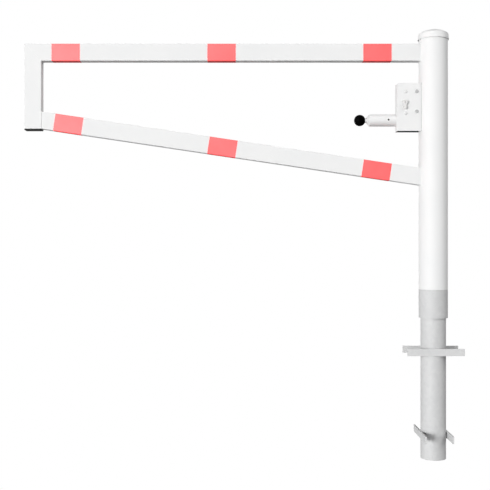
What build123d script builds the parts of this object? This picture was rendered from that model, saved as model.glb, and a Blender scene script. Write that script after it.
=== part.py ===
from build123d import *
import math
import os

# A swing barrier. A ground tube set in the ground carries a round post that
# turns on it, and the post carries a gate of box section that tapers to its end.
# Sizes are in millimetres. The origin is on the post's axis at ground level, with
# +Z up. The gate runs along -X when it is closed, and its lock faces -Y.

# Ground tube, from its foot in the ground to its head inside the post
ground_tube_diameter = 88.9
ground_tube_wall = 4.0
ground_tube_depth = 498.0
ground_tube_head_room = 50.0

# Collar on the ground tube, which the post turns on
collar_diameter = 101.6
collar_height = 100.0

# Anchor bars, welded across the ground tube in two pairs
anchor_bar_length = 200.0
anchor_bar_height = 25.0
anchor_bar_thickness = 5.0
upper_anchor_depth = 106.0
lower_anchor_rise = 72.0

# Post
post_diameter = 101.6
post_wall = 3.6
post_top = 1000.0

# Domed cap on the post
cap_skirt = 14.0
cap_rim_wall = 3.4
cap_shell = 3.0
cap_side_height = 20.0
cap_side_lean = 1.5
cap_rise = 36.0
cap_shoulder_radius = 8.0

# Gate frame of rectangular hollow section
gate_reach = 1449.0
rail_height = 60.0
rail_depth = 35.0
rail_wall = 3.0
rail_corner = 1.5
top_rail_drop = 31.0
end_height = 300.0
post_side_height = 499.0

# Plastic cap in the end stile's open foot
end_cap_flange = 5.0
end_cap_edge = 1.5
end_cap_plug = 18.0
end_cap_wall = 2.5
end_cap_corner = 2.0

# Red film wrapped round both rails, spread evenly between margins at their ends
band_width = 100.0
band_film = 0.3
band_count = 3
top_band_end_margin = 96.5
top_band_post_margin = 100.0
lower_band_end_margin = 46.8
lower_band_post_margin = 104.5

# Lock housing, a bent sheet cover that is open below, set out from the bolt, which
# lies below the top rail's upper edge
bolt_depth = 269.0
housing_reach = 81.3
housing_above_bolt = 129.5
housing_below_bolt = 39.5
housing_depth = 42.0
housing_sheet = 2.5
housing_corner = 4.0
housing_edge = 1.0

# Lock case behind the housing's face
case_width = 60.0
case_height = 85.0
case_depth = 18.0
case_sheet = 1.5
case_inset = 17.0
case_foot_drop = 14.0

# Profile lock cylinder
cylinder_plug_diameter = 17.0
cylinder_leg_width = 10.0
cylinder_total_height = 33.0
cylinder_proud = 8.0
cylinder_length = 30.0
cylinder_inset = 27.0
cylinder_rise = 70.0
keyway_width = 1.6
keyway_height = 9.0
keyway_depth = 22.0

# Latch bolt and the sleeve that it slides in
nose_diameter = 20.0
nose_chamfer = 1.5
nose_reach_gap = 0.5
nose_hole_gap = 0.75
rod_diameter = 16.0
rod_tip_diameter = 12.0
piston_length = 40.0
piston_travel_room = 28.4
sleeve_diameter = 42.4
sleeve_wall = 3.2
sleeve_reach = 96.3
sleeve_hole_diameter = 6.5
sleeve_hole_offset = 30.0
bush_cone_length = 8.2
bush_cone_end_radius = 10.0
bush_spigot = 10.0
latch_hole_diameter = 22.0

# Ball knob
knob_diameter = 40.0
knob_gap = 4.8
knob_bore_depth = 20.0

# Fits
weld_gap = 0.1
turning_gap = 0.3
sliding_gap = 0.3
overcut = 1.0

# Sizes that follow from those above
ground_tube_radius = ground_tube_diameter / 2
ground_tube_head = post_top - ground_tube_head_room
lower_anchor_depth = ground_tube_depth - lower_anchor_rise - anchor_bar_height
post_radius = post_diameter / 2
post_foot = collar_height + turning_gap
top_rail_top = post_top - top_rail_drop
rail_axis_height = top_rail_top - rail_height / 2
stile_inner_x = -gate_reach + rail_height
gate_end_bottom = top_rail_top - end_height
gate_post_bottom = top_rail_top - post_side_height
rail_run = -post_radius - stile_inner_x
rail_slope = math.atan2(gate_end_bottom - gate_post_bottom, rail_run)
lower_rail_start_height = gate_end_bottom + rail_height / 2 / math.cos(rail_slope)
lower_rail_length = rail_run / math.cos(rail_slope)
rail_bore_corner = rail_corner / 2
bolt_height = top_rail_top - bolt_depth
housing_front = -housing_depth / 2
housing_right = -math.sqrt(post_radius ** 2 - housing_front ** 2)
housing_inner_front = housing_front + housing_sheet
housing_left = -post_radius - housing_reach
housing_top = bolt_height + housing_above_bolt
housing_bottom = bolt_height - housing_below_bolt
case_left = housing_left + case_inset
cylinder_x = housing_left + cylinder_inset
cylinder_top = bolt_height + cylinder_rise
case_bottom = cylinder_top - cylinder_total_height - case_foot_drop
sleeve_radius = sleeve_diameter / 2
sleeve_bore_radius = sleeve_radius - sleeve_wall
sleeve_end = housing_left - sleeve_reach
sleeve_hole_x = housing_left - sleeve_hole_offset
piston_left = sleeve_end + bush_spigot + piston_travel_room
nose_tip = -ground_tube_radius - nose_reach_gap
bush_end = sleeve_end - bush_cone_length
knob_x = bush_end - knob_gap - knob_diameter / 2
knob_bore_end = knob_x + knob_diameter / 2 - knob_bore_depth
bolt_axis = Axis((0, 0, bolt_height), (1, 0, 0))


def upright_tube(outer_radius, inner_radius, bottom, top):
    """A round tube on the post's axis."""
    wall = Circle(outer_radius) - Circle(inner_radius)
    return extrude(Pos(0, 0, bottom) * wall, top - bottom)


def post_envelope():
    """The post's outside with the welding gap, which shapes what meets it."""
    return upright_cylinder(post_radius + weld_gap)


def upright_cylinder(radius):
    height = post_top + overcut
    return Pos(0, 0, height / 2) * Cylinder(radius, height)


def turned_on_bolt_axis(profile):
    """A turned piece from its half profile of (x, radius) points."""
    points = [(x, 0, bolt_height + radius) for x, radius in profile]
    return revolve(make_face(Polyline(*points, close=True)), bolt_axis)


def bar_on_bolt_axis(start, end, radius):
    """A round bar on the bolt's axis between two X positions."""
    return turned_on_bolt_axis([(start, 0), (start, radius), (end, radius), (end, 0)])


def radial_drill(diameter, tube_radius, angle):
    """A drill at the bolt's height, from a tube's axis out past its wall at an angle."""
    length = tube_radius + overcut
    drill = Cylinder(diameter / 2, length, rotation=(0, 90, 0))
    return Rot(0, 0, angle) * Pos(length / 2, 0, bolt_height) * drill


# Ground tube, collar and anchor bars


def make_ground_tube():
    """The tube that the post turns on, with a latch hole for each held position."""
    bore_radius = ground_tube_radius - ground_tube_wall
    tube = upright_tube(ground_tube_radius, bore_radius, -ground_tube_depth, ground_tube_head)
    for angle in (180, -90, 90):
        tube -= radial_drill(latch_hole_diameter, ground_tube_radius, angle)
    return tube


def make_collar():
    return upright_tube(collar_diameter / 2, ground_tube_radius + weld_gap, 0, collar_height)


def make_anchor_bar(depth, side, across):
    """A flat bar that touches the tube's side, along X or, turned across, along Y."""
    bar = Box(anchor_bar_length, anchor_bar_thickness, anchor_bar_height)
    offset = side * (ground_tube_radius + anchor_bar_thickness / 2)
    placed = Pos(0, offset, -depth - anchor_bar_height / 2) * bar
    return Rot(0, 0, 90) * placed if across else placed


# Post and cap


def make_post_tube():
    tube = upright_tube(post_radius, post_radius - post_wall, post_foot, post_top)
    return tube - radial_drill(nose_diameter + 2 * nose_hole_gap, post_radius, 180)


def dome_arc(edge_radius, edge_height, apex_height):
    """The arc of a shallow dome from its edge to the axis."""
    rise = apex_height - edge_height
    sphere_radius = (edge_radius ** 2 + rise ** 2) / (2 * rise)
    half_angle = math.asin(edge_radius / sphere_radius) / 2
    middle = (sphere_radius * math.sin(half_angle),
              apex_height - sphere_radius * (1 - math.cos(half_angle)))
    return ThreePointArc((edge_radius, edge_height), middle, (0, apex_height))


def make_post_cap():
    """A drawn cap whose skirt passes over the post, and whose step rests on its edge."""
    seat_radius = post_radius + weld_gap
    rim_radius = seat_radius + cap_rim_wall
    rim = post_top - cap_skirt
    shoulder_radius = rim_radius - cap_side_lean
    shoulder = rim + cap_side_height
    apex = rim + cap_rise
    step_radius = post_radius - post_wall
    outer_dome = dome_arc(shoulder_radius, shoulder, apex)
    inner_dome = dome_arc(step_radius, post_top + cap_shell, apex - cap_shell)
    outline = outer_dome + Line((0, apex), (0, apex - cap_shell)) + inner_dome
    outline += Polyline((step_radius, post_top + cap_shell), (step_radius, post_top),
                        (seat_radius, post_top), (seat_radius, rim), (rim_radius, rim),
                        (shoulder_radius, shoulder))
    section = make_face(outline)
    corner = section.vertices().sort_by_distance(Vertex(shoulder_radius, shoulder, 0))[0]
    section = fillet(corner, cap_shoulder_radius)
    return revolve(Plane.XZ * section, Axis.Z)


# Gate frame


def rail_outline(grown=0.0):
    """The section's outside, with its depth first and its height second."""
    return RectangleRounded(rail_depth + 2 * grown, rail_height + 2 * grown, rail_corner + grown)


def hollow_rail(length):
    """A rail of hollow section along +X from the origin."""
    bore = RectangleRounded(rail_depth - 2 * rail_wall, rail_height - 2 * rail_wall,
                            rail_bore_corner)
    return extrude(Plane.YZ * (rail_outline() - bore), length)


def mitre_plane():
    """The 45 degree joint of the top rail and the end stile."""
    return Plane(origin=(-gate_reach, 0, top_rail_top), z_dir=(1, 0, 1))


def lower_rail_place():
    """The lower rail's own frame: it starts on the stile's face and slopes down."""
    slope = math.degrees(rail_slope)
    return Pos(stile_inner_x, 0, lower_rail_start_height) * Rot(0, slope, 0)


def make_top_rail():
    rail = Pos(-gate_reach, 0, rail_axis_height) * hollow_rail(gate_reach - post_radius / 2)
    rail = split(rail, mitre_plane(), keep=Keep.TOP)
    return rail - post_envelope()


def make_end_stile():
    stile = hollow_rail(end_height)
    upright = Pos(-gate_reach + rail_height / 2, 0, gate_end_bottom) * Rot(0, -90, 0) * stile
    return split(upright, mitre_plane(), keep=Keep.BOTTOM)


def make_lower_rail():
    """The sloping rail, cut flush to the stile and shaped to the round post."""
    rail = hollow_rail(rail_height + lower_rail_length + post_radius / 2)
    rail = lower_rail_place() * Pos(-rail_height, 0, 0) * rail
    stile_face = Plane(origin=(stile_inner_x, 0, 0), z_dir=(1, 0, 0))
    rail = split(rail, stile_face, keep=Keep.TOP)
    return rail - post_envelope()


def make_stile_end_cap():
    """A push-in cap: a flange under the stile's foot and a hollow plug inside it."""
    flange = extrude(RectangleRounded(rail_height, rail_depth, end_cap_corner), -end_cap_flange)
    flange = fillet(flange.edges().group_by(Axis.Z)[0], end_cap_edge)
    plug_width = rail_height - 2 * rail_wall - 2 * weld_gap
    plug_depth = rail_depth - 2 * rail_wall - 2 * weld_gap
    plug = RectangleRounded(plug_width, plug_depth, end_cap_corner)
    hollow = Rectangle(plug_width - 2 * end_cap_wall, plug_depth - 2 * end_cap_wall)
    cap = flange + extrude(plug - hollow, end_cap_plug)
    return Pos(-gate_reach + rail_height / 2, 0, gate_end_bottom) * cap


def make_band():
    """A wrap of film round a rail, along +X from the origin."""
    return extrude(Plane.YZ * (rail_outline(band_film) - rail_outline()), band_width)


def band_start(index, rail_length, first_margin, last_margin):
    """Where a band starts along its rail, with equal steps between the margins."""
    step = (rail_length - first_margin - last_margin - band_width) / (band_count - 1)
    return first_margin + index * step


def top_band_place(index):
    rail_length = gate_reach - post_radius
    start = band_start(index, rail_length, top_band_end_margin, top_band_post_margin)
    return Pos(-gate_reach + start, 0, rail_axis_height)


def lower_band_place(index):
    start = band_start(index, lower_rail_length, lower_band_end_margin, lower_band_post_margin)
    return lower_rail_place() * Pos(start, 0, 0)


# Lock


def front_plane(y):
    """A sketch plane that faces -Y, with its X and Y along the part's X and Z."""
    return Plane(origin=(0, y, 0), x_dir=(1, 0, 0), z_dir=(0, -1, 0))


def rounded_top_block(left, right, bottom, top, depth, corner):
    """A block across the Y axis whose two upper corners are rounded."""
    outline = Pos((left + right) / 2, (bottom + top) / 2) * Rectangle(right - left, top - bottom)
    outline = fillet(outline.vertices().sort_by(Axis.Y)[-2:], corner)
    return extrude(front_plane(depth / 2) * outline, depth)


def profile_cylinder_outline(gap=0.0):
    """The keyhole outline of a profile cylinder, as a round head over a narrow leg."""
    head = cylinder_plug_diameter / 2
    leg = cylinder_leg_width / 2
    leg_length = cylinder_total_height - head - leg
    outline = Circle(head + gap) + Pos(0, -leg_length) * Circle(leg + gap)
    outline += Pos(0, -leg_length / 2) * Rectangle(2 * (leg + gap), leg_length)
    return Pos(cylinder_x, cylinder_top - head) * outline


def profile_cylinder_bar(back, front, gap=0.0):
    return extrude(front_plane(back) * profile_cylinder_outline(gap), back - front)


def make_lock_housing():
    """The cover round the lock: a front, a back, a side and a top, shaped to the post."""
    cover = rounded_top_block(housing_left, housing_right, housing_bottom, housing_top,
                              housing_depth, housing_corner)
    for face in (cover.faces().sort_by(Axis.Y)[0], cover.faces().sort_by(Axis.Y)[-1]):
        rim = face.edges().sort_by(Axis.Z)[1:]
        cover = fillet(rim, housing_edge)
    inside = rounded_top_block(housing_left + housing_sheet, housing_right + housing_corner,
                               housing_bottom - overcut, housing_top - housing_sheet,
                               housing_depth - 2 * housing_sheet,
                               housing_corner - housing_sheet)
    nose_hole = bar_on_bolt_axis(housing_left - overcut, housing_left + housing_sheet + overcut,
                                 nose_diameter / 2 + nose_hole_gap)
    lock_hole = profile_cylinder_bar(housing_inner_front + overcut, housing_front - overcut,
                                     sliding_gap)
    return cover - inside - post_envelope() - nose_hole - lock_hole


def make_lock_case():
    """The sheet case behind the face, open only where the cylinder goes through it."""
    centre = Pos(case_left + case_width / 2, housing_inner_front + case_depth / 2,
                 case_bottom + case_height / 2)
    case = Box(case_width, case_depth, case_height)
    case -= Box(case_width - 2 * case_sheet, case_depth - 2 * case_sheet,
                case_height - 2 * case_sheet)
    back = housing_inner_front + case_depth + overcut
    return centre * case - profile_cylinder_bar(back, housing_inner_front - overcut, sliding_gap)


def make_lock_cylinder():
    front = housing_front - cylinder_proud
    keyway = Pos(cylinder_x, cylinder_top - cylinder_plug_diameter / 2) * Rectangle(
        keyway_width, keyway_height)
    body = profile_cylinder_bar(front + cylinder_length, front)
    return body - extrude(front_plane(front + keyway_depth) * keyway, keyway_depth)


# Latch


def make_bolt_sleeve():
    """The round sleeve against the housing's side, with a small hole in its front."""
    sleeve_foot = housing_left - weld_gap
    tube = bar_on_bolt_axis(sleeve_end, sleeve_foot, sleeve_radius)
    tube -= bar_on_bolt_axis(sleeve_end, sleeve_foot, sleeve_bore_radius)
    hole = Pos(sleeve_hole_x, bolt_height) * Circle(sleeve_hole_diameter / 2)
    return tube - extrude(front_plane(0) * hole, sleeve_radius + overcut)


def make_sleeve_bush():
    """The turned bush that closes the sleeve's end with a cone and guides the rod."""
    bore = rod_diameter / 2 + sliding_gap
    spigot_radius = sleeve_bore_radius - weld_gap
    return turned_on_bolt_axis([
        (bush_end, bore),
        (bush_end, bush_cone_end_radius),
        (sleeve_end, sleeve_radius),
        (sleeve_end, spigot_radius),
        (sleeve_end + bush_spigot, spigot_radius),
        (sleeve_end + bush_spigot, bore),
    ])


def make_lock_bolt():
    """The bolt, from the knob's stem along the rod and piston to the chamfered nose."""
    stem_end = knob_x + knob_flat()
    tip_radius = rod_tip_diameter / 2
    rod_radius = rod_diameter / 2
    piston_right = piston_left + piston_length
    piston_radius = sleeve_bore_radius - sliding_gap
    nose_radius = nose_diameter / 2
    return turned_on_bolt_axis([
        (knob_bore_end, 0),
        (knob_bore_end, tip_radius),
        (stem_end, tip_radius),
        (stem_end, rod_radius),
        (piston_left, rod_radius),
        (piston_left, piston_radius),
        (piston_right, piston_radius),
        (piston_right, nose_radius),
        (nose_tip - nose_chamfer, nose_radius),
        (nose_tip, nose_radius - nose_chamfer),
        (nose_tip, 0),
    ])


def knob_flat():
    """How far the knob's flat lies from its centre, where the rod's shoulder meets it."""
    return math.sqrt((knob_diameter / 2) ** 2 - (rod_diameter / 2) ** 2)


def make_ball_knob():
    """A ball with a flat for the rod's shoulder and a blind hole for its tip."""
    ball = Pos(knob_x, 0, bolt_height) * Sphere(knob_diameter / 2)
    flat = Plane(origin=(knob_x + knob_flat(), 0, 0), z_dir=(1, 0, 0))
    ball = split(ball, flat, keep=Keep.BOTTOM)
    return ball - bar_on_bolt_axis(knob_bore_end - weld_gap, knob_x + knob_diameter / 2,
                                   rod_tip_diameter / 2 + weld_gap)


def make_pieces():
    """Every piece of the barrier by its name."""
    pieces = {
        "ground_tube": make_ground_tube(),
        "support_collar": make_collar(),
        "anchor_bar_front": make_anchor_bar(upper_anchor_depth, -1, False),
        "anchor_bar_rear": make_anchor_bar(upper_anchor_depth, 1, False),
        "anchor_bar_left": make_anchor_bar(lower_anchor_depth, 1, True),
        "anchor_bar_right": make_anchor_bar(lower_anchor_depth, -1, True),
        "post_tube": make_post_tube(),
        "post_cap": make_post_cap(),
        "top_rail": make_top_rail(),
        "end_stile": make_end_stile(),
        "lower_rail": make_lower_rail(),
        "stile_end_cap": make_stile_end_cap(),
        "lock_housing": make_lock_housing(),
        "lock_case": make_lock_case(),
        "lock_cylinder": make_lock_cylinder(),
        "bolt_sleeve": make_bolt_sleeve(),
        "sleeve_bush": make_sleeve_bush(),
        "lock_bolt": make_lock_bolt(),
        "ball_knob": make_ball_knob(),
    }
    for index in range(band_count):
        pieces[f"top_band_{index + 1}"] = top_band_place(index) * make_band()
        pieces[f"lower_band_{index + 1}"] = lower_band_place(index) * make_band()
    return pieces


os.makedirs("parts", exist_ok=True)
for name, piece in make_pieces().items():
    export_step(piece, f"parts/{name}.step")
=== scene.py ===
"""A swing barrier with its ground tube uncovered, seen from the front on white."""

import math

import bmesh
import bpy
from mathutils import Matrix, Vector


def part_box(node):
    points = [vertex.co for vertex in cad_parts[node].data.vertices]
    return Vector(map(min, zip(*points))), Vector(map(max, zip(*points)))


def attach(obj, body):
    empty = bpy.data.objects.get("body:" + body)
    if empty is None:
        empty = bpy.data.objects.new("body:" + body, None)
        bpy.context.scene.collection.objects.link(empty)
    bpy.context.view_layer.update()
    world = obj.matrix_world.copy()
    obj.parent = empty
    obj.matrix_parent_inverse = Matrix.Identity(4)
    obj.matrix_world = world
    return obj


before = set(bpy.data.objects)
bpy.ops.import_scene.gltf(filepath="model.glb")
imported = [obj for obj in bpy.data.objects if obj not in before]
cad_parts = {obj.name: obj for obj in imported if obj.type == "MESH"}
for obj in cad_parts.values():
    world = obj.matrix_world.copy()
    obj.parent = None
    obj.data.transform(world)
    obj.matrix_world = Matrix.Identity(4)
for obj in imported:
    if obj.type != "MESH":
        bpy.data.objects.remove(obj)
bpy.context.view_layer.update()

MM = 0.001

# Camera, level and square to the gate
CAMERA_PLACE = (-0.6689, -2.9678, 0.2577)
CAMERA_LENS = 61.355
CAMERA_SENSOR = 36.0

# Soft lights: degrees to the right of the camera's side, degrees up, strength, spread
LIGHTS = {
    "key_light": (-42, 4, 2.41, 20),
    "right_fill": (50, 34, 1.44, 50),
    "left_wash": (-108, 5, 0.35, 60),
}

# What the camera sees behind the barrier, and the fill from above and below
BACKDROP = 1.0
UPPER_FILL = 0.03
LOWER_FILL = 0.28
HORIZON_SOFTNESS = 0.25

# What reflections see. A softbox fades from left to right and from front to back,
# and a bright band lies low behind. Edges are parts of a unit direction
SHINE_ABOVE = 0.20
SHINE_BELOW = 0.08
SOFTBOX_PEAK = 3.4
SOFTBOX_ACROSS = (-0.30, 0.32)
SOFTBOX_DEPTH = (0.0, 0.6)
BAND_DEPTH = (0.0, 0.6)
BAND_FOOT = (-0.12, 0.02)
BAND_HEAD = (0.3, 0.5)

FLOOR_HALF_SIZE = 6.0

# Weld beads
BEAD_SEGMENTS = 8
BEAD_PITCH = 2.4 * MM
RINGS_PER_RIPPLE = 4
BEAD_RIPPLE = 0.10
RAIL_BEAD = 1.9 * MM
STILE_BEAD = 1.3 * MM
SEAM_BEAD = 0.8 * MM
SEAM_SUNK = 0.5 * MM
HOUSING_BEAD = 1.1 * MM
SLEEVE_BEAD = 1.3 * MM
SLEEVE_STEPS = 48
POST_ARC_STEPS = 12
ANCHOR_BEAD = 1.8 * MM
ANCHOR_BEAD_REACH = 11 * MM
ANCHOR_ARC_STEPS = 8

# Screws in the housing's face. Their places are x and z
SCREW_SEGMENTS = 36
SCREW_SUNK = 0.3 * MM
SCREW_RADIUS = 6.6 * MM
SCREW_RISE = 3.0 * MM
SCREW_SHARP_ANGLE = 40
DOME_STEPS = 7
DOME_FLAT = 0.04
SOCKET_HEAD = ((1.0, 0.5), (0.94, 0.8), (0.84, 1.0))
SOCKET_RADIUS = 3.0 * MM
SOCKET_DEPTH = 2.0 * MM
DOME_SCREWS = {"upper": (-101.3 * MM, 798.8 * MM), "lower": (-101.3 * MM, 722.6 * MM)}
SOCKET_SCREWS = {"upper": (-62.9 * MM, 799.9 * MM), "lower": (-62.9 * MM, 729.0 * MM)}

# Duller and brighter tone of each material
COAT_TONES = ((0.850, 0.855, 0.855), (0.878, 0.878, 0.875))
ZINC_TONES = ((0.585, 0.588, 0.591), (0.625, 0.627, 0.627))
FILM_TONES = ((0.93, 0.104, 0.106), (0.97, 0.118, 0.120))
STEEL_TONES = ((0.56, 0.565, 0.57), (0.70, 0.70, 0.695))
NICKEL_TONES = ((0.74, 0.735, 0.725), (0.79, 0.785, 0.775))
PLATE_TONES = ((0.45, 0.455, 0.46), (0.56, 0.56, 0.555))

# The same for black plastic, as shares of its darkness
PLASTIC_SHARES = (0.8, 1.2)

# Shares of a material's tones: coat in a seam, darker as painted shade, and on a screw;
# zinc on an anchor bar, lighter as painted light
SEAM_PAINTED_SHADE_SHARE = 0.62
SCREW_WHITENESS = 0.88
BAR_PAINTED_LIGHT_SHARE = 1.08

# Darkness and gloss of the two black plastics
CAP_BLACK = (0.006, 0.16)
KNOB_BLACK = (0.0004, 0.01)

# Share of metal in what reflects like metal
FILM_METAL = 0.7
STEEL_METAL = 0.85
NICKEL_METAL = 0.10
PLATE_METAL = 0.25

COAT_SPECULAR = 0.4
ZINC_SPECULAR = 0.5

# Painted shade on the unlit insides: the housing's behind its sheet's edge, the sleeve's
# under its skin
HOUSING_SHEET = 2.2 * MM
SLEEVE_SKIN = 0.5 * MM
INSIDE_PAINTED_SHADE = (0.004, 0.004, 0.004)

# Grease on the bolt's wide parts, beyond this radius
BOLT_CLEAN_RADIUS = 9 * MM
GREASE_TONE = (0.03, 0.027, 0.02)

# Anchor bars, by the side of the tube they lie on, and the rounding of their cut edges
ANCHOR_BARS = {
    "anchor_bar_front": (0, -1),
    "anchor_bar_rear": (0, 1),
    "anchor_bar_left": (-1, 0),
    "anchor_bar_right": (1, 0),
}
BAR_EDGE = 0.7 * MM
BAR_EDGE_SEGMENTS = 2
BAR_CORNER_JOIN = 0.01 * MM


# Node helpers


def add_node(tree, kind, inputs=(), **settings):
    """A node with its settings, and its inputs set or linked by name."""
    node = tree.nodes.new(kind)
    for key, value in settings.items():
        setattr(node, key, value)
    for name, value in dict(inputs).items():
        if isinstance(value, bpy.types.NodeSocket):
            tree.links.new(value, node.inputs[name])
        else:
            node.inputs[name].default_value = value
    return node


def noise(tree, place, scale, detail=2.0, roughness=0.5):
    """Noise between 0 and 1, with scale in features a metre."""
    inputs = {"Vector": place, "Scale": scale, "Detail": detail, "Roughness": roughness}
    return add_node(tree, "ShaderNodeTexNoise", inputs).outputs["Fac"]


def spread(tree, value, low, high, start=0.3, end=0.7):
    """The value's middle range mapped to low and high."""
    inputs = {"Value": value, "From Min": start, "From Max": end,
              "To Min": low, "To Max": high}
    return add_node(tree, "ShaderNodeMapRange", inputs).outputs["Result"]


def combine(tree, operation, values):
    """The values joined one after another by one operation."""
    result = values[0]
    for value in values[1:]:
        result = add_node(tree, "ShaderNodeMath", {0: result, 1: value},
                          operation=operation).outputs["Value"]
    return result


def multiply(tree, *values):
    """The product of the values."""
    return combine(tree, "MULTIPLY", values)


def add(tree, *values):
    """The sum of the values."""
    return combine(tree, "ADD", values)


def mix_colours(tree, factor, first, second):
    """The first colour at factor 0 and the second at factor 1."""
    node = add_node(tree, "ShaderNodeMix", {"Factor": factor}, data_type="RGBA")
    for index, colour in ((6, first), (7, second)):
        if isinstance(colour, bpy.types.NodeSocket):
            tree.links.new(colour, node.inputs[index])
        else:
            node.inputs[index].default_value = (*colour, 1.0)
    return node.outputs[2]


def bump(tree, height, distance, strength=1.0, normal=None):
    """A normal bent by a height, on top of another normal if one is given."""
    inputs = {"Height": height, "Distance": distance, "Strength": strength}
    if normal:
        inputs["Normal"] = normal
    return add_node(tree, "ShaderNodeBump", inputs).outputs["Normal"]


def new_material(name):
    """A material with a Principled shader, its node tree and its metric coordinates."""
    material = bpy.data.materials.new(name)
    material.use_nodes = True
    tree = material.node_tree
    shader = tree.nodes["Principled BSDF"]
    place = add_node(tree, "ShaderNodeTexCoord").outputs["Object"]
    return material, tree, shader, place


def plug(tree, shader, **links):
    """Links node outputs to the shader's sockets."""
    for name, socket in links.items():
        tree.links.new(socket, shader.inputs[name.replace("_", " ")])


# Materials


def near_bolt_axis(tree, place, radius):
    """1 nearer than a radius to the bolt's axis and 0 beyond it."""
    low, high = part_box("bolt_sleeve")
    axis = (0, 0, (low.z + high.z) / 2)
    offset = place
    for operation, values in (("SUBTRACT", axis), ("MULTIPLY", (0, 1, 1))):
        offset = add_node(tree, "ShaderNodeVectorMath", {0: offset, 1: values},
                          operation=operation).outputs["Vector"]
    reach = add_node(tree, "ShaderNodeVectorMath", {0: offset},
                     operation="LENGTH").outputs["Value"]
    return combine(tree, "LESS_THAN", (reach, radius))


def painted_shade_in_housing(tree, place):
    """1 inside the lock housing's cover, where shade is painted, and 0 on it."""
    low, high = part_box("lock_housing")
    parts = add_node(tree, "ShaderNodeSeparateXYZ", {"Vector": place})
    limits = (("X", "GREATER_THAN", low.x + HOUSING_SHEET),
              ("Y", "GREATER_THAN", low.y + HOUSING_SHEET),
              ("Y", "LESS_THAN", high.y - HOUSING_SHEET),
              ("Z", "LESS_THAN", high.z - HOUSING_SHEET))
    return multiply(tree, *[combine(tree, test, (parts.outputs[axis], limit))
                            for axis, test, limit in limits])


def painted_shade_in_sleeve(tree, place):
    """1 under the bolt sleeve's outer skin, where shade is painted, and 0 on it."""
    return near_bolt_axis(tree, place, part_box("bolt_sleeve")[1].y - SLEEVE_SKIN)


def scaled(tones, share):
    """A material's two tones, both multiplied by a share."""
    return [[share * part for part in tone] for tone in tones]


def make_powder_coat(name="powder_coat_white", whiteness=1.0, inside=None):
    """White powder coat, with orange peel, a little unevenness in its tone, and painted
    shade where an inside mask is given.
    """
    material, tree, shader, place = new_material(name)
    tone = spread(tree, noise(tree, place, scale=7.0, detail=4.0), 0.0, 1.0)
    colour = mix_colours(tree, tone, *scaled(COAT_TONES, whiteness))
    # Painted shade: near black wherever the inside mask is 1
    if inside:
        colour = mix_colours(tree, inside(tree, place), colour, INSIDE_PAINTED_SHADE)
    roughness = spread(tree, noise(tree, place, scale=60.0, detail=3.0), 0.52, 0.62)
    peel = bump(tree, noise(tree, place, scale=420.0), distance=0.06 * MM, strength=0.5)
    waves = bump(tree, noise(tree, place, scale=90.0, detail=1.0),
                 distance=0.08 * MM, strength=0.4, normal=peel)
    plug(tree, shader, Base_Color=colour, Roughness=roughness, Normal=waves)
    shader.inputs["Specular IOR Level"].default_value = COAT_SPECULAR
    return material


def make_galvanised(name, whiteness=1.0):
    """Hot-dip galvanised steel, with a faint spangle and dull patches."""
    material, tree, shader, place = new_material(name)
    wobble = add_node(tree, "ShaderNodeTexNoise", {"Vector": place, "Scale": 70.0})
    warped = add_node(tree, "ShaderNodeVectorMath", {
        0: wobble.outputs["Color"], 1: (8 * MM,) * 3, 2: place}, operation="MULTIPLY_ADD")
    cells = add_node(tree, "ShaderNodeTexVoronoi", {
        "Vector": warped.outputs["Vector"], "Scale": 85.0, "Randomness": 1.0})
    grain = add_node(tree, "ShaderNodeSeparateColor", {"Color": cells.outputs["Color"]})
    patches = noise(tree, place, scale=34.0, detail=5.0, roughness=0.6)
    spangle = add_node(tree, "ShaderNodeMix", {
        "Factor": 0.5, "A": grain.outputs["Red"], "B": patches})
    tone = spread(tree, spangle.outputs["Result"], 0.0, 1.0, start=0.2, end=0.8)
    colour = mix_colours(tree, tone, *scaled(ZINC_TONES, whiteness))
    roughness = spread(tree, grain.outputs["Green"], 0.50, 0.62, start=0.0, end=1.0)
    crystals = bump(tree, grain.outputs["Blue"], distance=0.04 * MM, strength=0.4)
    surface = bump(tree, noise(tree, place, scale=300.0, detail=3.0),
                   distance=0.08 * MM, strength=0.5, normal=crystals)
    plug(tree, shader, Base_Color=colour, Roughness=roughness, Normal=surface)
    shader.inputs["Specular IOR Level"].default_value = ZINC_SPECULAR
    return material


def make_red_film():
    """Red film with a slight gloss and the faint waves of a hand-laid wrap."""
    material, tree, shader, place = new_material("red_film_wrap")
    tone = spread(tree, noise(tree, place, scale=16.0, detail=3.0), 0.0, 1.0)
    colour = mix_colours(tree, tone, *FILM_TONES)
    roughness = spread(tree, noise(tree, place, scale=110.0, detail=3.0), 0.44, 0.52)
    waves = bump(tree, noise(tree, place, scale=45.0), distance=0.12 * MM, strength=0.35)
    grain = bump(tree, noise(tree, place, scale=900.0, detail=1.0),
                 distance=0.02 * MM, strength=0.5, normal=waves)
    plug(tree, shader, Base_Color=colour, Roughness=roughness, Normal=grain)
    shader.inputs["Metallic"].default_value = FILM_METAL
    return material


def make_black_plastic(name, darkness, gloss):
    """Black moulded plastic, as dark and as glossy as asked."""
    material, tree, shader, place = new_material(name)
    tone = spread(tree, noise(tree, place, scale=90.0, detail=3.0), 0.0, 1.0)
    colour = mix_colours(tree, tone, *[(share * darkness,) * 3 for share in PLASTIC_SHARES])
    roughness = spread(tree, noise(tree, place, scale=160.0, detail=3.0), 0.34, 0.44)
    skin = bump(tree, noise(tree, place, scale=700.0), distance=0.03 * MM, strength=0.4)
    plug(tree, shader, Base_Color=colour, Roughness=roughness, Normal=skin)
    shader.inputs["Specular IOR Level"].default_value = gloss
    return material


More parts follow.
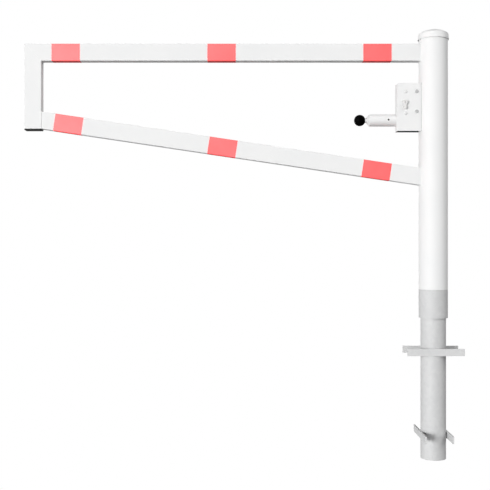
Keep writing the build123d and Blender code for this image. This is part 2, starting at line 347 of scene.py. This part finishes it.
def make_turned_steel():
    """Bright steel with fine turning marks, greased where it is wider than the rod."""
    material, tree, shader, place = new_material("turned_steel")
    rings = add_node(tree, "ShaderNodeTexWave", {
        "Vector": place, "Scale": 260.0, "Distortion": 0.6, "Detail": 2.0},
        wave_type="BANDS", bands_direction="X").outputs["Fac"]
    tone = spread(tree, noise(tree, place, scale=70.0, detail=4.0), 0.0, 1.0)
    colour = mix_colours(tree, tone, *STEEL_TONES)
    clean = near_bolt_axis(tree, place, BOLT_CLEAN_RADIUS)
    colour = mix_colours(tree, clean, GREASE_TONE, colour)
    roughness = spread(tree, noise(tree, place, scale=200.0), 0.28, 0.38)
    marks = bump(tree, rings, distance=0.02 * MM, strength=0.5)
    plug(tree, shader, Base_Color=colour, Roughness=roughness, Normal=marks)
    shader.inputs["Metallic"].default_value = STEEL_METAL
    return material


def make_satin_nickel():
    """Satin nickel with a fine upright brushing."""
    material, tree, shader, place = new_material("satin_nickel")
    stretch = add_node(tree, "ShaderNodeMapping", {
        "Vector": place, "Scale": (40.0, 40.0, 1.0)})
    brushing = noise(tree, stretch.outputs["Vector"], scale=30.0, detail=3.0)
    colour = mix_colours(tree, spread(tree, brushing, 0.0, 1.0), *NICKEL_TONES)
    roughness = spread(tree, brushing, 0.34, 0.46)
    lines = bump(tree, brushing, distance=0.02 * MM, strength=0.4)
    plug(tree, shader, Base_Color=colour, Roughness=roughness, Normal=lines)
    shader.inputs["Metallic"].default_value = NICKEL_METAL
    return material


def make_zinc_plate():
    """Dull zinc plating on the small screws."""
    material, tree, shader, place = new_material("zinc_plated_screw")
    tone = spread(tree, noise(tree, place, scale=400.0, detail=3.0), 0.0, 1.0)
    colour = mix_colours(tree, tone, *PLATE_TONES)
    roughness = spread(tree, noise(tree, place, scale=700.0), 0.52, 0.62)
    skin = bump(tree, noise(tree, place, scale=1200.0), distance=0.02 * MM, strength=0.4)
    plug(tree, shader, Base_Color=colour, Roughness=roughness, Normal=skin)
    shader.inputs["Metallic"].default_value = PLATE_METAL
    return material


# Geometry helpers


def link_piece(name, mesh_tool, material, body):
    """A smooth new object from a bmesh, with its material, body and slot."""
    mesh = bpy.data.meshes.new(name)
    bmesh.ops.recalc_face_normals(mesh_tool, faces=mesh_tool.faces)
    for face in mesh_tool.faces:
        face.smooth = True
    mesh_tool.to_mesh(mesh)
    mesh_tool.free()
    mesh.materials.append(material)
    piece = bpy.data.objects.new(name, mesh)
    bpy.context.scene.collection.objects.link(piece)
    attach(piece, body)
    return piece


def join_rings(mesh_tool, rings, closed):
    """Faces between rings of vertices, and caps at both ends of an open row."""
    count = len(rings)
    for index in range(count if closed else count - 1):
        near = rings[index]
        far = rings[(index + 1) % count]
        for corner in range(len(near)):
            after = (corner + 1) % len(near)
            mesh_tool.faces.new((near[corner], near[after], far[after], far[corner]))
    if not closed:
        mesh_tool.faces.new(rings[0])
        mesh_tool.faces.new(reversed(rings[-1]))


def even_points(path, step, closed):
    """Points at even steps along a path of corner points."""
    corners = [Vector(point) for point in path]
    if closed:
        corners.append(corners[0])
    lengths = [(b - a).length for a, b in zip(corners, corners[1:])]
    total = sum(lengths)
    count = max(4, round(total / step))
    points = []
    for index in range(count if closed else count + 1):
        left = total * index / count
        for start, end, length in zip(corners, corners[1:], lengths):
            if left <= length or end is corners[-1]:
                points.append(start.lerp(end, min(left / length, 1.0)))
                break
            left -= length
    return points


def weld_bead(name, path, radius, closed, material, body="gate"):
    """A rippled bead of weld along a path."""
    points = even_points(path, BEAD_PITCH / RINGS_PER_RIPPLE, closed)
    count = len(points)
    mesh_tool = bmesh.new()
    rings = []
    side = None
    for index, point in enumerate(points):
        before = points[index - 1] if closed or index > 0 else point
        after = points[(index + 1) % count] if closed or index < count - 1 else point
        along = (after - before).normalized()
        if side is None:
            side = along.orthogonal().normalized()
        side = (side - along * side.dot(along)).normalized()
        up = along.cross(side)
        phase = (index % RINGS_PER_RIPPLE) / RINGS_PER_RIPPLE
        size = radius * (1 + BEAD_RIPPLE * math.sin(math.pi * phase) - BEAD_RIPPLE / 2)
        ring = []
        for corner in range(BEAD_SEGMENTS):
            turn = math.tau * corner / BEAD_SEGMENTS
            offset = side * math.cos(turn) + up * math.sin(turn)
            ring.append(mesh_tool.verts.new(point + offset * size))
        rings.append(ring)
    join_rings(mesh_tool, rings, closed)
    link_piece(name, mesh_tool, material, body)


def even_spread(half_width, steps):
    """Even values from -half_width to half_width."""
    return [half_width * (2 * index / steps - 1) for index in range(steps + 1)]


def arc_on_post(radius, half_width):
    """(x, y) points on the post's -X side, from -half_width to half_width in y."""
    return [(-math.sqrt(radius ** 2 - y ** 2), y)
            for y in even_spread(half_width, POST_ARC_STEPS)]


def hexagon_radius(turn, apothem):
    """The distance from a hexagon's centre to its side in one direction."""
    sixth = math.tau / 6
    return apothem / math.cos((turn % sixth) - sixth / 2)


def screw_head(name, centre, face_y, profile, socket, material):
    """A turned head that faces -Y, with a hexagonal socket if one is asked for."""
    mesh_tool = bmesh.new()
    turns = [math.tau * index / SCREW_SEGMENTS for index in range(SCREW_SEGMENTS)]

    def ring(radii, rise):
        """Vertices round the screw's axis, with a radius for each turn."""
        return [mesh_tool.verts.new((centre[0] + radius * math.cos(turn), face_y - rise,
                                     centre[1] + radius * math.sin(turn)))
                for turn, radius in zip(turns, radii)]

    rings = [ring([radius] * SCREW_SEGMENTS, rise) for radius, rise in profile]
    if socket:
        apothem, depth = socket
        hexagon = [hexagon_radius(turn, apothem) for turn in turns]
        top = profile[-1][1]
        rings.append(ring(hexagon, top))
        rings.append(ring(hexagon, top - depth))
    join_rings(mesh_tool, rings, False)
    piece = link_piece(name, mesh_tool, material, "gate")
    piece.data.set_sharp_from_angle(angle=math.radians(SCREW_SHARP_ANGLE))


def dome_profile(radius, rise):
    """A shallow dome's (radius, rise) points from its sunk edge to its small flat top."""
    sphere = (radius ** 2 + rise ** 2) / (2 * rise)
    edge = math.asin(radius / sphere)
    turns = [edge * (1 - index / DOME_STEPS) for index in range(DOME_STEPS)]
    dome = [(sphere * math.sin(turn), rise - sphere * (1 - math.cos(turn)))
            for turn in turns]
    return [(radius, -SCREW_SUNK)] + dome + [(DOME_FLAT * radius, rise)]


def socket_head_profile(radius, rise):
    """A cylinder head's (radius, rise) points from its sunk edge to its rounded top."""
    head = [(radius * width, rise * level) for width, level in SOCKET_HEAD]
    return [(radius, -SCREW_SUNK)] + head


# Scene


def make_camera():
    """A camera at the photo's angle."""
    camera = bpy.data.objects.new("camera", bpy.data.cameras.new("camera"))
    camera.location = CAMERA_PLACE
    camera.rotation_euler = (math.pi / 2, 0, 0)
    camera.data.lens = CAMERA_LENS
    camera.data.sensor_width = CAMERA_SENSOR
    bpy.context.scene.collection.objects.link(camera)
    bpy.context.scene.camera = camera


def make_lights():
    """Soft suns from the directions in LIGHTS."""
    for name, (azimuth, elevation, strength, width) in LIGHTS.items():
        light = bpy.data.lights.new(name, "SUN")
        light.energy = strength
        light.angle = math.radians(width)
        lamp = bpy.data.objects.new(name, light)
        turn, lift = math.radians(azimuth), math.radians(elevation)
        towards = Vector((math.sin(turn) * math.cos(lift),
                          -math.cos(turn) * math.cos(lift), math.sin(lift)))
        lamp.rotation_euler = towards.to_track_quat("Z", "Y").to_euler()
        bpy.context.scene.collection.objects.link(lamp)


def make_surroundings():
    """White for the camera, a soft fill, and a softbox and a band for reflections."""
    world = bpy.data.worlds.new("studio")
    bpy.context.scene.world = world
    world.use_nodes = True
    world.cycles.sampling_method = "NONE"
    tree = world.node_tree
    tree.nodes.clear()
    direction = add_node(tree, "ShaderNodeTexCoord").outputs["Generated"]
    parts = add_node(tree, "ShaderNodeSeparateXYZ", {"Vector": direction}).outputs
    horizon = (-HORIZON_SOFTNESS, HORIZON_SOFTNESS)
    fill = spread(tree, parts["Z"], LOWER_FILL, UPPER_FILL, *horizon)
    sheen = spread(tree, parts["Z"], SHINE_BELOW, SHINE_ABOVE, *horizon)
    softbox = multiply(tree, spread(tree, parts["X"], SOFTBOX_PEAK, 0.0, *SOFTBOX_ACROSS),
                       spread(tree, parts["Y"], 1.0, 0.0, *SOFTBOX_DEPTH))
    band = multiply(tree, spread(tree, parts["Y"], 0.0, 1.0, *BAND_DEPTH),
                    spread(tree, parts["Z"], 0.0, 1.0, *BAND_FOOT),
                    spread(tree, parts["Z"], 1.0, 0.0, *BAND_HEAD))
    shine = add(tree, softbox, sheen, band)
    path = add_node(tree, "ShaderNodeLightPath")
    lit = add_node(tree, "ShaderNodeMix", {
        "Factor": path.outputs["Is Glossy Ray"], "A": fill, "B": shine})
    seen = add_node(tree, "ShaderNodeMix", {
        "Factor": path.outputs["Is Camera Ray"], "A": lit.outputs["Result"],
        "B": BACKDROP})
    background = add_node(tree, "ShaderNodeBackground", {
        "Color": (1, 1, 1, 1), "Strength": seen.outputs["Result"]})
    add_node(tree, "ShaderNodeOutputWorld", {"Surface": background.outputs["Background"]})


def make_floor():
    """A white floor at the tube's foot, lit evenly from within."""
    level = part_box("ground_tube")[0].z
    mesh = bpy.data.meshes.new("floor")
    half = FLOOR_HALF_SIZE
    corners = [(-half, -half, level), (half, -half, level),
               (half, half, level), (-half, half, level)]
    mesh.from_pydata(corners, [], [(0, 1, 2, 3)])
    material = bpy.data.materials.new("studio_floor")
    material.use_nodes = True
    tree = material.node_tree
    tree.nodes.clear()
    glow = add_node(tree, "ShaderNodeEmission", {
        "Color": (1, 1, 1, 1), "Strength": BACKDROP})
    add_node(tree, "ShaderNodeOutputMaterial", {"Surface": glow.outputs["Emission"]})
    mesh.materials.append(material)
    floor = bpy.data.objects.new("floor", mesh)
    floor.visible_diffuse = False
    floor.visible_glossy = False
    floor.visible_shadow = False
    bpy.context.scene.collection.objects.link(floor)


# Pieces


def rail_end_loop(low, high, radius, rise=0.0):
    """The outline of a level or sloping rail where it meets the round post.

    The rise is in z for each metre in x.
    """
    half = high.y
    across = arc_on_post(radius, half)
    lift = {x: (x + radius) * rise for x, _ in across}
    upper = [(x, y, high.z + lift[x]) for x, y in across]
    lower = [(x, y, low.z + lift[x]) for x, y in reversed(across)]
    return upper + lower


def make_rail_welds(coat):
    """Beads round the rails where they meet the post and the stile."""
    post_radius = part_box("post_tube")[1].y
    top_low, top_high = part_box("top_rail")
    stile_low, stile_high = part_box("end_stile")
    lower_low, lower_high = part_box("lower_rail")
    weld_bead("weld_top_rail", rail_end_loop(top_low, top_high, post_radius),
              RAIL_BEAD, True, coat)
    run = lower_high.x - stile_high.x
    fall = (lower_low.z - stile_low.z) / run
    thickness = lower_high.z - stile_low.z
    at_post = stile_low.z + fall * (-post_radius - stile_high.x)
    low = Vector((0, lower_low.y, at_post))
    high = Vector((0, lower_high.y, at_post + thickness))
    weld_bead("weld_lower_rail", rail_end_loop(low, high, post_radius, fall),
              RAIL_BEAD, True, coat)
    x, half = stile_high.x, lower_high.y
    path = [(x, -half, stile_low.z), (x, -half, lower_high.z),
            (x, half, lower_high.z), (x, half, stile_low.z)]
    weld_bead("weld_stile_foot", path, STILE_BEAD, False, coat)
    for side, name in ((-1, "weld_mitre_front"), (1, "weld_mitre_rear")):
        y = side * (half - SEAM_SUNK)
        path = [(top_low.x + SEAM_BEAD, y, top_high.z - SEAM_BEAD), (x, y, top_low.z)]
        weld_bead(name, path, SEAM_BEAD, False, coat)
    path = [(x, -half, top_low.z), (x, half, top_low.z)]
    weld_bead("weld_mitre_inside", path, STILE_BEAD, False, coat)


def make_housing_welds(coat, seam_shade_coat):
    """Beads where the lock housing meets the post and the sleeve meets the housing; the
    housing's bead carries painted shade.
    """
    post_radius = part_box("post_tube")[1].y
    low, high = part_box("lock_housing")
    across = arc_on_post(post_radius, high.y)
    path = [(across[0][0], low.y, low.z)]
    path += [(x, y, high.z) for x, y in across]
    path.append((across[-1][0], high.y, low.z))
    weld_bead("weld_housing", path, HOUSING_BEAD, False, seam_shade_coat)
    sleeve_low, sleeve_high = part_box("bolt_sleeve")
    radius = sleeve_high.y
    axis_z = (sleeve_low.z + sleeve_high.z) / 2
    turns = [math.tau * index / SLEEVE_STEPS for index in range(SLEEVE_STEPS)]
    ring = [(low.x, radius * math.cos(turn), axis_z + radius * math.sin(turn))
            for turn in turns]
    weld_bead("weld_sleeve", ring, SLEEVE_BEAD, True, coat)


def make_anchor_welds(zinc):
    """A bead round each anchor bar's contact with the ground tube."""
    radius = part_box("ground_tube")[1].x
    arc = [(offset, math.sqrt(radius ** 2 - offset ** 2))
           for offset in even_spread(ANCHOR_BEAD_REACH, ANCHOR_ARC_STEPS)]
    for bar, (out_x, out_y) in ANCHOR_BARS.items():
        low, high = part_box(bar)
        loop = [(offset, reach, high.z) for offset, reach in arc]
        loop += [(offset, reach, low.z) for offset, reach in reversed(arc)]
        path = [(out_x * reach - out_y * offset, out_y * reach + out_x * offset, z)
                for offset, reach, z in loop]
        weld_bead(bar.replace("anchor_bar", "weld_anchor"), path, ANCHOR_BEAD, True,
                  zinc, "ground")


def make_screws(coat, plate):
    """Two painted domes beside the cylinder and two socket screws beside the post."""
    face_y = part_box("lock_housing")[0].y
    dome = dome_profile(SCREW_RADIUS, SCREW_RISE)
    for level, centre in DOME_SCREWS.items():
        screw_head(f"dome_screw_{level}", centre, face_y, dome, None, coat)
    head = socket_head_profile(SCREW_RADIUS, SCREW_RISE)
    for level, centre in SOCKET_SCREWS.items():
        screw_head(f"socket_screw_{level}", centre, face_y, head,
                   (SOCKET_RADIUS, SOCKET_DEPTH), plate)


def round_edges(bar):
    """Rounds the sharp edges of a plain bar by modifiers."""
    weld = bar.modifiers.new("join_corners", "WELD")
    weld.merge_threshold = BAR_CORNER_JOIN
    bevel = bar.modifiers.new("round_edges", "BEVEL")
    bevel.width = BAR_EDGE
    bevel.segments = BAR_EDGE_SEGMENTS
    bevel.limit_method = "ANGLE"
    bar.modifiers.new("even_normals", "WEIGHTED_NORMAL")


def dress_nodes(finishes, special):
    """Every CAD node takes its own special material or that of its slot."""
    for name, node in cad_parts.items():
        material = special.get(name, finishes[node.data.materials[0].name])
        for slot in node.material_slots:
            slot.material = material


make_camera()
make_lights()
make_surroundings()
make_floor()

powder_coat = make_powder_coat()
galvanised = make_galvanised("galvanised_tube")
# The anchor bars' zinc is lighter than the tube's: painted light
galvanised_bar_painted_light = make_galvanised("galvanised_bar_painted_light", BAR_PAINTED_LIGHT_SHARE)
special = {
    # Housing and sleeve coats with painted shade on their insides
    "lock_housing": make_powder_coat("powder_coat_housing_painted_shade", inside=painted_shade_in_housing),
    "bolt_sleeve": make_powder_coat("powder_coat_sleeve_painted_shade", inside=painted_shade_in_sleeve),
    "ball_knob": make_black_plastic("black_knob", *KNOB_BLACK),
}
special.update({bar: galvanised_bar_painted_light for bar in ANCHOR_BARS})
dress_nodes({
    "white_coating": powder_coat,
    "galvanised_steel": galvanised,
    "red_film": make_red_film(),
    "black_plastic": make_black_plastic("black_moulded_plastic", *CAP_BLACK),
    "bare_steel": make_turned_steel(),
    "nickelled_brass": make_satin_nickel(),
}, special)
for bar in ANCHOR_BARS:
    round_edges(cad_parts[bar])
make_rail_welds(powder_coat)
# The housing's seam bead takes a darker coat: painted shade in the seam
make_housing_welds(powder_coat, make_powder_coat("powder_coat_seam_painted_shade", SEAM_PAINTED_SHADE_SHARE))
make_anchor_welds(galvanised)
make_screws(make_powder_coat("powder_coat_screw", SCREW_WHITENESS), make_zinc_plate())

bpy.context.scene.view_settings.view_transform = "Standard"
bpy.context.scene.cycles.diffuse_bounces = 1
